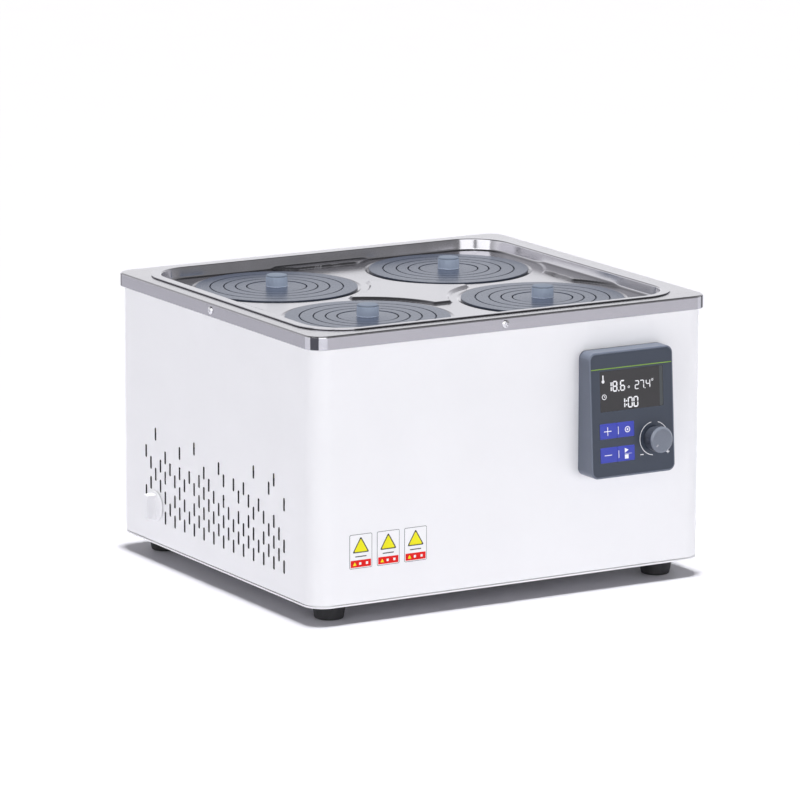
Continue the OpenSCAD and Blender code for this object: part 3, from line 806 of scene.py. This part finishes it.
def cover():
    """The pressed cover: a top skin, the same skin one sheet lower, and their edges joined."""
    points, faces, finishes = cover_quarter()
    skin = bmesh.new()
    for sx, sy in PLACES.values():
        verts = [skin.verts.new((sx * p.x, sy * p.y, p.z)) for p in points]
        for face, finish in zip(faces, finishes):
            order = face if sx * sy > 0 else tuple(reversed(face))
            skin.faces.new([verts[i] for i in order]).material_index = finish
    bmesh.ops.remove_doubles(skin, verts=skin.verts, dist=0.002)
    skin.normal_update()
    upper = list(skin.verts)
    lower = {v: skin.verts.new(v.co - v.normal * COVER_SHEET) for v in upper}
    rim = [edge for edge in skin.edges if edge.is_boundary]
    for face in list(skin.faces):
        under = skin.faces.new([lower[v] for v in reversed(face.verts)])
        under.material_index = face.material_index
    for edge in rim:
        a, b = edge.verts
        skin.faces.new((a, b, lower[b], lower[a]))
    skin.verts.index_update()
    shape = Shape()
    shape.points = [v.co.copy() for v in skin.verts]
    shape.faces = [tuple(v.index for v in face.verts) for face in skin.faces]
    shape.finish_of_face = [face.material_index for face in skin.faces]
    skin.free()
    # the black strip in the flange's gap is painted shade
    flange_gap_shade_ring(shape, 2)
    thing = shape.piece("pressed_cover", ["polished_stainless", "pan_wall_painted_light", "flange_gap_shade"], "cover",
                        ["cover_plate"], sharp=60, even_shading=False)
    shade_pressing(thing.data)


# -------- nested lids
# How far each ring's edge lies inside the outer one's, and the sizes of the ledges
RING_STEPS = (0, 11.5, 22.5, 32, 41)
RING_GAP = 0.55
RING_LEDGE = 2.2
RING_CLEAR = 0.4
RIM_DEEP = 1.6
LEDGE_DEEP = 2.3


def lid_ring(place, number):
    """One ring: its rim rests on a ledge of the next larger ring, or on the cover."""
    node = f"ring_{place}_{number}"
    low, high = span(node)
    seat = high.z - (RIM_DEEP if number == 1 else LEDGE_DEEP)
    ledge = high.z - LEDGE_DEEP
    outer = LID_R - RING_STEPS[number - 1] - (RING_GAP if number > 1 else 0)
    inner = LID_R - RING_STEPS[number] + RING_GAP
    lower_inner = inner - RING_LEDGE
    lower_outer = (HOLE_R - RING_CLEAR if number == 1
                   else outer + RING_GAP * 2 - RING_LEDGE - RING_CLEAR)
    outline = softened([(lower_inner, low.z), (lower_outer, low.z), (lower_outer, seat),
                        (outer, seat), (outer, high.z), (inner, high.z), (inner, ledge),
                        (lower_inner, ledge)], 0.22, 3)
    centre = middle(node)
    shape = Shape()
    shape.lathe(outline, upright(centre.x, centre.y), 144)
    shape.piece(f"lid_{node}", ["ring_plastic"], node, [node])


def centre_lid(place):
    """The middle lid with its knob, whose side and top are a lighter and a darker copy of one
    plastic: painted light and painted shade.
    """
    node = f"centre_lid_{place}"
    low, high = span(node)
    top = LID_TOP
    seat = top - LEDGE_DEEP
    outer = LID_R - RING_STEPS[4] - RING_GAP
    lower = outer - RING_LEDGE
    knob = 8.75
    profile = [(0, low.z)]
    profile += softened([(lower, low.z), (lower, seat), (outer, seat), (outer, top)], 0.3, 3)
    # the knob: a small flare at its foot, drafted sides and a soft flat top
    profile += [(knob + 0.9, top), (knob + 0.35, top + 0.12), (knob + 0.08, top + 0.45),
                (knob, top + 1.0), (knob - 0.1, high.z - 1.2), (knob - 0.28, high.z - 0.6),
                (knob - 0.7, high.z - 0.18), (knob - 1.3, high.z), (0, high.z)]
    centre = middle(node)
    shape = Shape()
    shape.lathe([tuple(p) for p in profile], upright(centre.x, centre.y), 96)
    thing = shape.piece(f"lid_centre_{place}", ["ring_plastic", "knob_plastic", "knob_top_painted_shade"], node,
                        [node], sharp=50)
    # the knob's side and top get the lighter and the darker copy: painted light and painted shade
    for face in thing.data.polygons:
        if face.center.z / MM > top + 0.6:
            face.material_index = 2 if face.normal.z > 0.25 else 1


top_frame()
frame_screws()
casing_shell()
cover()
for lid_place in PLACES:
    for lid_number in range(1, 5):
        lid_ring(lid_place, lid_number)
    centre_lid(lid_place)


# -------- control box
# Places on its sloping face are (x, z) from the face's lower left corner. DISPLAY holds x, z,
# width and height; HEAD_OUT and FOOT_OUT are how far its top and foot stand out
BOX_LOW = span("control_housing")[0]
BOX_W = size("control_housing").x
FOOT_OUT = 21
HEAD_OUT = 14.6
SLOPE_LENGTH = 99.7
TILT = math.asin((FOOT_OUT - HEAD_OUT) / SLOPE_LENGTH)
BOX_H = size("control_housing").z / math.cos(TILT)
BOX_R = 6
FILM_EDGE = 1.3
FILM_T = 0.8
DISPLAY = (9.3, 52.5, 58.5, 32.2)
KEY_X = (8.4, 24.2)
KEY_Z = (31.2, 12.3)
KEY_SIZE = (15.4, 11.8)
DIAL = (58.2, 27.4)
INK = 0.06


def on_face(x, z, out):
    """A point on the sloping face: x to the right, z up the slope, out along its normal."""
    return Vector((BOX_LOW.x + x,
                   BOX_LOW.y + z * math.sin(TILT) - out * math.cos(TILT),
                   BOX_LOW.z + z * math.cos(TILT) + out * math.sin(TILT)))


def face_loop(width, height, radius, out, centre, steps):
    """A rounded rectangle on the sloping face."""
    return [on_face(centre[0] + p.x, centre[1] + p.y, out)
            for p in rounded_rect(width, height, radius, steps)]


def control_case():
    """The wedge-shaped box: flat sides, a rounded front edge and a sunk place for the film."""
    def outline(inset, out):
        return face_loop(BOX_W - 2 * inset, BOX_H - 2 * inset, BOX_R - inset, out,
                         (BOX_W / 2, BOX_H / 2), 8)

    loops = [[Vector((p.x, CASE_LOW.y - 0.1, p.z)) for p in outline(0, 0)]]
    loops += [outline(inset, -deep) for deep, inset in quarter_round(1.1, 6)]
    loops += [outline(FILM_EDGE, -0.02), outline(FILM_EDGE, -FILM_T)]
    shape = Shape()
    shape.loft(loops)
    shape.piece("control_case", ["housing_plastic"], "case",
                ["control_housing"])


# Which of the seven bars each figure lights: top, upper right, lower right, bottom,
# lower left, upper left and middle
FIGURES = {"0": "TRSBLU", "1": "RS", "2": "TRMLB", "4": "URMS", "6": "TUMLBS", "7": "TRS",
           "8": "TRSBLUM"}


class Print:
    """Flat marks of one finish on the sloping face, printed on a shape at some height."""

    def __init__(self, shape, low, finish, thick=INK):
        self.shape = shape
        self.levels = (low, low + thick)
        self.finish = finish

    def patch(self, outline):
        self.shape.slab(outline, *self.levels, on_face, self.finish)

    def bar(self, *box, radius=0.0):
        self.patch(rectangle(*box, radius))

    def ring(self, radius, width, centre, start=0, turn=360.0):
        """A ring or arc of even width."""
        low, high = self.levels
        outer, inner = (circle(r, 24, start, turn, centre)
                        for r in (radius + width / 2, radius - width / 2))
        loops = [[on_face(*a, low), on_face(*a, high), on_face(*b, high), on_face(*b, low)]
                 for a, b in zip(outer, inner)]
        self.shape.loft(loops, self.finish, closed=turn == 360.0)

    def figure(self, sign, x, z, height, width, thick):
        """A seven-bar figure with its lower left corner at x, z. Returns how far it reaches."""
        if sign in ".:":
            for level in ((0,) if sign == "." else (0.24, 0.6)):
                spot = z + height * level
                self.bar(x, spot, x + thick, spot + thick)
            return thick
        wide = 0 if sign == "1" else width - thick
        tall = height - thick
        half = tall / 2
        bars = {"T": ((0, tall), (wide, tall)), "M": ((0, half), (wide, half)),
                "B": ((0, 0), (wide, 0)), "U": ((0, half), (0, tall)), "L": ((0, 0), (0, half)),
                "R": ((wide, half), (wide, tall)), "S": ((wide, 0), (wide, half))}
        corner = Vector((x + thick / 2, z + thick / 2))
        for bar in FIGURES[sign]:
            start, end = (corner + Vector(p) for p in bars[bar])
            along = (end - start).normalized() * thick
            aside = Vector((-along.y, along.x)) / 2
            start += along * 0.1
            end -= along * 0.1
            tip = along / 2
            self.patch([start, start + tip - aside, end - tip - aside, end, end - tip + aside,
                        start + tip + aside])
        return wide + thick


def display_glass():
    """The display: a pane with seven-bar figures, plain marks and a lighter strip."""
    x, z, w, h = DISPLAY
    top = 0.04
    gap = 0.05
    shape = Shape()
    shape.slab(rectangle(x + gap, z + gap, x + w - gap, z + h - gap, 0.6), -FILM_T + 0.02, top,
               on_face, edge=0.12)
    white = Print(shape, top, 1)
    for signs, left, base, height, width, thick in (("18.6", 19.0, 67.8, 8.6, 4.6, 1.1),
                                                    ("27.4", 41.4, 67.8, 7.0, 4.1, 0.75),
                                                    ("1:00", 31.2, 53.9, 8.6, 4.6, 1.05)):
        for sign in signs:
            left += white.figure(sign, left, base, height, width, thick) + thick * 0.6
    # plain marks beside the figures: degree rings, a thermometer and a clock
    for radius, width, spot in ((0.75, 0.4, (35.8, 70.4)), (0.75, 0.4, (57.7, 74.0)),
                                (1.9, 0.5, (13.0, 64.4))):
        white.ring(radius, width, spot)
    white.patch(circle(1.3, 20, centre=(12.2, 76.6)))
    white.bar(11.7, 77.4, 12.7, 81.6, radius=0.45)
    white.bar(12.8, 64.3, 13.2, 65.6)
    white.bar(12.8, 64.2, 14.1, 64.6)
    # the lighter strip along the right of the glass
    Print(shape, top, 2, 0.03).bar(x + w - 3.4, z + 0.4, x + w - 0.4, z + h - 0.4, radius=0.3)
    shape.piece("display_pane", ["display_glass", "white_ink", "display_edge"], "case",
                ["display_window"])


def front_film():
    """The printed film: one plate with windows for the display and keys, and its marks."""
    inset = FILM_EDGE + 0.15
    outline = rectangle(inset, inset, BOX_W - inset, BOX_H - inset, BOX_R - inset, 8)
    x, z, w, h = DISPLAY
    windows = [rectangle(x, z, x + w, z + h, 0.6)]
    gap = 0.3
    for x in KEY_X:
        for z in KEY_Z:
            windows.append(rectangle(x - gap, z - gap, x + KEY_SIZE[0] + gap,
                                     z + KEY_SIZE[1] + gap, 0.9))
    windows.append(circle(3.5, 32, centre=DIAL))
    shape = Shape()
    pierced_plate(shape, outline, windows, lambda x, z: on_face(x, z, 0),
                  lambda x, z: on_face(x, z, -FILM_T))
    Print(shape, 0, 1).bar(FILM_EDGE + 0.2, 86.2, BOX_W - FILM_EDGE - 0.2, 86.8)
    white = Print(shape, 0, 2)
    for start, turn in ((100, 163), (5, 68)):
        white.ring(13.2, 0.5, DIAL, start, turn)
    # a minus and a plus at the arcs' ends
    for bar in ((45.1, 15.2, 48.1, 15.8), (69.4, 15.2, 72.2, 15.8), (70.5, 14.1, 71.1, 16.9)):
        white.bar(*bar)
    shape.piece("front_film", ["fascia_film", "green_ink", "white_ink"], "case",
                ["control_fascia"], sharp=30)


def key_pad(column, row, mark):
    """One key: a low crowned pad with its printed sign, which moves with the key."""
    name = f"key_{mark}"
    x = KEY_X[column]
    cx = x + KEY_SIZE[0] / 2
    cz = KEY_Z[row] + KEY_SIZE[1] / 2
    top = 0.38
    loops = []
    for inset, out in ((0, -2.2), (0, 0.2), (0.06, 0.29), (0.2, 0.34), (0.8, top)):
        loops.append(face_loop(KEY_SIZE[0] + 0.26 - 2 * inset, KEY_SIZE[1] - 2 * inset, 0.5, out,
                               (cx, cz), 10))
    shape = Shape()
    shape.loft(loops)
    white = Print(shape, top - 0.02, 1)
    if column == 1:
        white.bar(x + 0.5, cz - 3.0, x + 1.05, cz + 3.0)
    if mark in ("plus", "minus"):
        sign_x = x + 6.8
        white.bar(sign_x - 3.4, cz - 0.3, sign_x + 3.4, cz + 0.3)
    if mark == "plus":
        white.bar(sign_x - 0.3, cz + 0.3, sign_x + 0.3, cz + 3.4)
        white.bar(sign_x - 0.3, cz - 3.4, sign_x + 0.3, cz - 0.3)
    if mark == "set":
        white.ring(2.1, 0.65, (cx + 1.6, cz))
        white.patch(circle(0.8, 20, centre=(cx + 1.6, cz)))
    if mark == "run":
        white.patch([Vector((cx + a, cz + b)) for a, b in ((-1.4, 0.5), (2.2, 2.6), (-1.4, 4.5))])
        white.bar(cx - 1.4, cz - 4.2, cx + 2.0, cz - 0.9)
        white.bar(cx - 1.6, cz - 0.35, cx + 4.8, cz - 0.1)
    shape.piece(f"{name}_pad", ["key_blue", "white_ink"], name, [name])


def speed_dial():
    """The turned dial: a narrow skirt, fine grip flutes, a chamfered rim and a pointer."""
    radius = 10.4
    depth = 12.0
    base = 0.4
    profile = [(3.1, 0), (radius - 1.0, 0), (radius - 1.0, 3.6), (radius - 0.5, 4.0),
               (radius, 4.5), (radius, depth - 1.6), (radius - 0.25, depth - 1.2),
               (radius - 1.5, depth - 0.15), (radius - 1.9, depth), (radius - 2.4, depth - 0.02),
               (radius - 2.9, depth - 0.3), (0.0, depth - 0.35), (0.0, depth - 3),
               (3.1, depth - 3)]
    flutes = 36

    def lobes(index, angle):
        if index in (4, 5):
            return 1 - 0.010 * (0.5 + 0.5 * math.cos(flutes * angle))
        return 1

    shape = Shape()
    shape.lathe(profile, lambda a, b, out: on_face(DIAL[0] + a, DIAL[1] + b, base + out), 288,
                lobes=lobes)
    # pointer, to the lower left as the dial stands
    way = circle(1, 1, 222)[0]
    aside = Vector((-way.y, way.x)) * 0.45
    pointer = [Vector(DIAL) + way * far + aside * side
               for far, side in ((5.2, -1), (7.6, -1), (7.6, 1), (5.2, 1))]
    Print(shape, base + depth - 0.5, 1, 0.22).patch(pointer)
    thing = shape.piece("speed_dial_cap", ["dial_grey", "grey_ink", "dial_grip"], "speed_dial",
                        ["speed_knob"], sharp=35)
    outward = on_face(0, 0, 1) - on_face(0, 0, 0)
    for face in thing.data.polygons:
        if abs(face.normal.dot(outward)) < 0.3:
            face.material_index = 2


def drain_handle():
    """The drain's handle: a domed disc with an upright grip that leans into it."""
    low, high = span("drain_knob")
    centre = middle("drain_knob")
    radius = size("drain_knob").y / 2
    disc_t = 2.2
    grip_h = 21
    grip_t = 5.8

    def place(a, b, out):
        return Vector((high.x - out, centre.y + a, centre.z + b))

    back = high.x - (CASE_LOW.x - 0.4)
    shape = Shape()
    shape.lathe([(0, back), (radius - 0.3, back), (radius, back + 0.3), (radius - 0.1, back + 0.8),
                 (radius - 1.4, back + 1.3), (radius - 3.4, back + 1.8),
                 (radius - 6.0, back + disc_t), (0, back + disc_t + 0.25)], place, 96)
    loops = []
    reach = high.x - low.x
    for out, swell in ((back + disc_t - 0.4, 2.6), (back + disc_t + 0.3, 1.2),
                       (back + disc_t + 1.2, 0.4), (back + disc_t + 2.4, 0), (reach - 1.0, -0.1),
                       (reach - 0.3, -0.4), (reach, -1.1)):
        loops.append([place(p.x, p.y, out) for p in
                      rounded_rect(grip_t + swell, grip_h + min(0, swell), 1.4, 6)])
    shape.loft(loops)
    shape.piece("drain_handle", ["white_plastic"], "drain_tap", ["drain_knob"])


def foot_cushions():
    """Four rubber feet: a tapering body, a soft lower edge and a dished sole."""
    high = span("rubber_feet")[1]
    base_r = 14
    foot_h = 14
    profile = [(0, 1.0), (5, 1.0), (6.5, 0), (10.4, 0), (11.1, 0.35), (11.5, 1.2),
               (13.4, foot_h - 2.2), (13.8, foot_h - 1.7), (base_r, foot_h - 1.0),
               (base_r, foot_h - 0.1), (0, foot_h - 0.1)]
    shape = Shape()
    for sx, sy in QUARTERS:
        shape.lathe(profile, upright(sx * (high.x - base_r), sy * (high.y - base_r)), 64)
    shape.piece("foot_cushions", ["rubber"], "case", ["rubber_feet"])


def labels():
    """Three plain stick-on labels low on the front, with bars and no sign or wording."""
    width = 20.0
    height = 27.0
    base_z = 43.0
    film, edge, yellow, red, black = range(5)

    def place(a, b, out):
        return Vector((a, CASE_LOW.y - out, b))

    shape = Shape()
    for left in (-147.0, -122.6, -98.2):
        for x0, z0, x1, z1, radius, thick, ink in (
                (0, 0, width, height, 1.2, 0.10, edge),
                (0.4, 0.4, width - 0.4, height - 0.4, 0.9, 0.14, film),
                (1.0, 1.0, width - 1.0, 6.6, 0.4, 0.18, red),
                (8.4, 2.8, 10.4, 4.8, 0.4, 0.22, film),
                (14.4, 2.8, 16.4, 4.8, 0.4, 0.22, film),
                (5, 9.0, width - 5, 9.8, 0.3, 0.2, black)):
            outline = rectangle(left + x0, base_z + z0, left + x1, base_z + z1, radius,
                                5 if radius > 0.5 else 4)
            shape.slab(outline, 0, thick, place, ink)
        for x, z, size, thick, ink in ((width / 2, 16.6, 8.6, 0.18, black),
                                       (width / 2, 16.6, 6.9, 0.22, yellow),
                                       (4.6, 3.4, 1.9, 0.22, yellow)):
            corners = circle(size, 3, 90, 360.0, (left + x, base_z + z))
            shape.slab(softened(corners, size / 6, 3), 0, thick, place, ink)
    shape.piece("front_labels", ["label_film", "label_edge", "yellow_ink", "red_ink",
                                 "black_plastic"], "case")


control_case()
display_glass()
front_film()
for key_column, key_row, key_mark in ((0, 0, "plus"), (1, 0, "set"), (0, 1, "minus"),
                                      (1, 1, "run")):
    key_pad(key_column, key_row, key_mark)
speed_dial()
drain_handle()
foot_cushions()
labels()


# -------- CAD nodes that show
def soften_edges(node, width):
    """Rounds a carried-over node's edges by modifiers, which leave its mesh as it is."""
    thing = frame["nodes"][node]
    thing.modifiers.new("weld", "WELD").merge_threshold = 0.000005
    flat = thing.modifiers.new("flat", "DECIMATE")
    flat.decimate_type = "DISSOLVE"
    flat.angle_limit = math.radians(0.5)
    bevelled(thing, width, 35)
    thing.modifiers.new("shading", "WEIGHTED_NORMAL").keep_sharp = True


def dress_cad_nodes():
    """Gives every CAD node the finish of its slot in the record."""
    for part in frame["record"]["subparts"]:
        thing = frame["nodes"][part["node"]]
        material = finish_material(part["material_slot"])
        if not thing.material_slots:
            thing.data.materials.append(material)
        for place in thing.material_slots:
            place.material = material


dress_cad_nodes()
for cad_node in ("rear_panel", "base_pan", "power_inlet", "switch_housing", "switch_rocker"):
    soften_edges(cad_node, 0.3)


# -------- studio
def studio_floor():
    half = 40
    mesh = bpy.data.meshes.new("studio_floor")
    mesh.from_pydata([(sx * half, sy * half, 0) for sx, sy in QUARTERS], [], [(0, 1, 2, 3)])
    mesh.materials.append(finish_material("studio_floor"))
    floor = bpy.data.objects.new("studio_floor", mesh)
    bpy.context.scene.collection.objects.link(floor)


def aimed(light, azimuth, elevation, distance):
    """Puts a light out from the bath's middle, facing it."""
    bpy.context.scene.collection.objects.link(light)
    way = direction(azimuth, elevation)
    aim = Vector((0, 0, 0.12))
    light.matrix_world = (Matrix.Translation(aim + way * distance)
                          @ way.to_track_quat("Z", "Y").to_matrix().to_4x4())


def soft_box(name, azimuth, elevation, distance, width, height, power, in_gloss=True, lit=True):
    """A rectangular area light; one may only light the bath, or only be mirrored in it."""
    data = bpy.data.lights.new(name, "AREA")
    data.shape = "RECTANGLE"
    data.size = width
    data.size_y = height
    data.energy = power
    light = bpy.data.objects.new(name, data)
    light.visible_glossy = in_gloss
    light.visible_diffuse = lit
    aimed(light, azimuth, elevation, distance)


# Small pieces that stand out from the walls, whose shadows a real soft room washes out
SUN_PASSES = ("control_case", "front_film", "display_pane", "speed_dial_cap", "key_plus_pad",
              "key_set_pad", "key_minus_pad", "key_run_pad", "drain_handle")
SUN_PASSES_NODES = ("display_module", "control_board", "speed_encoder")


def ceiling_sun(strength, softness):
    """Light from above, which draws the clear shadow under the bath and isn't mirrored."""
    data = bpy.data.lights.new("ceiling", "SUN")
    data.energy = strength
    data.angle = math.radians(softness)
    light = bpy.data.objects.new("ceiling", data)
    light.visible_glossy = False
    passed = bpy.data.collections.new("passed_by_the_sun")
    for name in SUN_PASSES:
        passed.objects.link(bpy.data.objects[name])
    for name in SUN_PASSES_NODES:
        passed.objects.link(frame["nodes"][name])
    light.light_linking.blocker_collection = passed
    for entry in passed.collection_objects:
        entry.light_linking.link_state = "EXCLUDE"
    aimed(light, 0, 89.5, 3)


def studio_world():
    """A pale room: bright behind the bath, grey behind the camera, dark overhead.

    Two ramps of (height, level), one for each end of the room, blend from front to back.
    """
    world = bpy.data.worlds.new("studio")
    bpy.context.scene.world = world
    world.use_nodes = True
    nodes = world.node_tree.nodes
    links = world.node_tree.links
    coords = nodes.new("ShaderNodeTexCoord")
    split = nodes.new("ShaderNodeSeparateXYZ")
    links.new(coords.outputs["Generated"], split.inputs["Vector"])
    ramps = []
    for levels in (((0.0, 0.30), (0.10, 0.19), (0.24, 0.19), (0.50, 0.26), (0.90, 0.06)),
                   ((0.0, 0.90), (0.20, 0.78), (0.36, 0.48), (0.55, 0.32), (0.90, 0.06))):
        ramp = nodes.new("ShaderNodeValToRGB")
        ramp.color_ramp.interpolation = "EASE"
        stops = ramp.color_ramp.elements
        for index, (place, level) in enumerate(levels):
            stop = stops[index] if index < 2 else stops.new(place)
            stop.position = place
            stop.color = (level, level, level * 1.02, 1)
        links.new(split.outputs["Z"], ramp.inputs["Fac"])
        ramps.append(ramp)
    side = nodes.new("ShaderNodeMapRange")
    side.inputs["From Min"].default_value = -0.35
    side.inputs["From Max"].default_value = 0.35
    links.new(split.outputs["Y"], side.inputs["Value"])
    blend = nodes.new("ShaderNodeMix")
    blend.data_type = "RGBA"
    links.new(side.outputs["Result"], blend.inputs[0])
    links.new(ramps[0].outputs["Color"], blend.inputs[6])
    links.new(ramps[1].outputs["Color"], blend.inputs[7])
    links.new(blend.outputs[2], nodes["Background"].inputs["Color"])
    nodes["Background"].inputs["Strength"].default_value = 1.5


studio_floor()
studio_world()
ceiling_sun(strength=5.0, softness=3)
# Azimuth, elevation, distance, width, height and power
soft_box("window_front", -13.6, 30, 3.2, 2.5, 3.4, 46, lit=False)
soft_box("window_left", -64.6, 30, 3.2, 2.5, 3.4, 46, lit=False)
soft_box("fill_front", 6, 5, 3.6, 3.0, 0.7, 41, in_gloss=False)
soft_box("fill_left", -76, 5, 3.6, 3.0, 0.7, 13, in_gloss=False)
bpy.context.scene.view_settings.view_transform = "Standard"

# -------- scene update
bpy.context.view_layer.update()
